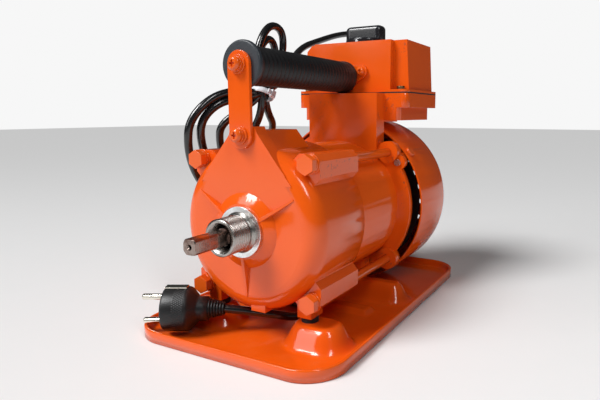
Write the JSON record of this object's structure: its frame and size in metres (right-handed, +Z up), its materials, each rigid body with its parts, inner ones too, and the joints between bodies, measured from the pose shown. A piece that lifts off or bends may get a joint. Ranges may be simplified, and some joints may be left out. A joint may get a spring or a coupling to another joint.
{
  "type": "concrete vibrator",
  "caption": "Electric drive motor for a concrete vibrator, on a pressed base pan, with a threaded spigot and driven shaft, carrying grip, terminal box with rotary switch, and mains cord.",
  "frame": {"origin": "on the ground plane under the pan, directly below the motor axis, between the front feet and the ridge", "axes": "+Z up; the drive shaft points along -Y; +X to the right seen from the drive end"},
  "size_m": [0.178, 0.3642, 0.2688],
  "materials": {
    "orange_casting": "glossy orange paint over a casting",
    "orange_sheet": "glossy orange paint over sheet steel",
    "orange_fastener": "orange paint over steel fasteners",
    "grip_rubber": "matt ribbed rubber",
    "grey_rubber": "satin grey-blue rubber",
    "pad_rubber": "matt rubber",
    "zinc_steel": "zinc plated",
    "dark_screw": "dark bronze passivated",
    "threaded_steel": "machined thread, lightly oiled",
    "bare_ring": "turned bare metal",
    "shaft_steel": "machined steel",
    "bearing_steel": "polished bearing steel",
    "core_steel": "stacked laminations",
    "copper": "varnished copper wire",
    "cast_aluminium": "as cast",
    "black_plastic": "satin moulded",
    "knob_plastic": "glossy moulded",
    "capacitor_case": "plain moulded case",
    "cord_jacket": "glossy PVC or rubber jacket",
    "white_nylon": "nylon",
    "plug_metal": "nickel plated brass"
  },
  "bodies": {
    "root": {"base_bolts": "zinc_steel", "base_pan": "orange_sheet", "box_gasket": "pad_rubber", "bracket_screws": "orange_fastener", "cable_tie": "white_nylon", "capacitor_clamp": "zinc_steel", "cord_gland": "black_plastic", "cover_screws": "dark_screw", "cowl_screws": "orange_fastener", "drive_spigot": "threaded_steel", "ear_screws": "zinc_steel", "fan_cowl": "orange_sheet", "flat_washers": "orange_fastener", "foot_pads": "pad_rubber", "front_bearing_outer_ring": "bearing_steel", "front_end_shield": "orange_casting", "grip_end_flange": "grey_rubber", "handle_bracket": "orange_sheet", "handle_core": "zinc_steel", "handle_grip": "grip_rubber", "handle_strap": "orange_sheet", "motor_housing": "orange_casting", "plug_body": "black_plastic", "plug_earth_clips": "plug_metal", "plug_pins": "plug_metal", "rear_bearing_outer_ring": "bearing_steel", "run_capacitor": "capacitor_case", "shaft_seal": "pad_rubber", "spigot_ring": "bare_ring", "spring_washers": "orange_fastener", "stator_core": "core_steel", "stator_windings": "copper", "strap_screws": "orange_fastener", "strap_washers": "orange_fastener", "supply_cord_hank": "cord_jacket", "supply_cord_loop": "cord_jacket", "supply_cord_tail": "cord_jacket", "switch_body": "black_plastic", "terminal_block": "black_plastic", "terminal_box_cover": "orange_casting", "tie_bolts": "orange_fastener", "wave_spring": "zinc_steel"},
    "rotor": {"drive_shaft": "shaft_steel", "rotor_core": "core_steel", "rotor_end_rings": "cast_aluminium", "front_bearing_inner_ring": "bearing_steel", "rear_bearing_inner_ring": "bearing_steel", "cooling_fan": "black_plastic", "fan_clip": "zinc_steel"},
    "front_cage": {"front_bearing_balls": "bearing_steel", "front_bearing_cage": "bearing_steel"},
    "rear_cage": {"rear_bearing_balls": "bearing_steel", "rear_bearing_cage": "bearing_steel"},
    "knob": {"switch_knob": "knob_plastic", "switch_spindle": "shaft_steel", "knob_screw": "zinc_steel"}
  },
  "joints": [
    {"name": "shaft_spin", "type": "hinge", "parent": "root", "child": "rotor", "pos_m": [0, 0.03, 0.0863], "axis": [0, 1, 0], "continuous": true},
    {"name": "front_cage_spin", "type": "hinge", "parent": "root", "child": "front_cage", "pos_m": [0, -0.0407, 0.0863], "axis": [0, 1, 0], "continuous": true},
    {"name": "rear_cage_spin", "type": "hinge", "parent": "root", "child": "rear_cage", "pos_m": [0, 0.0977, 0.0863], "axis": [0, 1, 0], "continuous": true},
    {"name": "switch_turn", "type": "hinge", "parent": "root", "child": "knob", "pos_m": [0, 0.141, 0.24], "axis": [0, 0, 1], "range_deg": [0, 60]}
  ],
  "couplings": [
    {"joint": "front_cage_spin", "follows": "shaft_spin", "ratio": 0.408},
    {"joint": "rear_cage_spin", "follows": "shaft_spin", "ratio": 0.406}
  ]
}
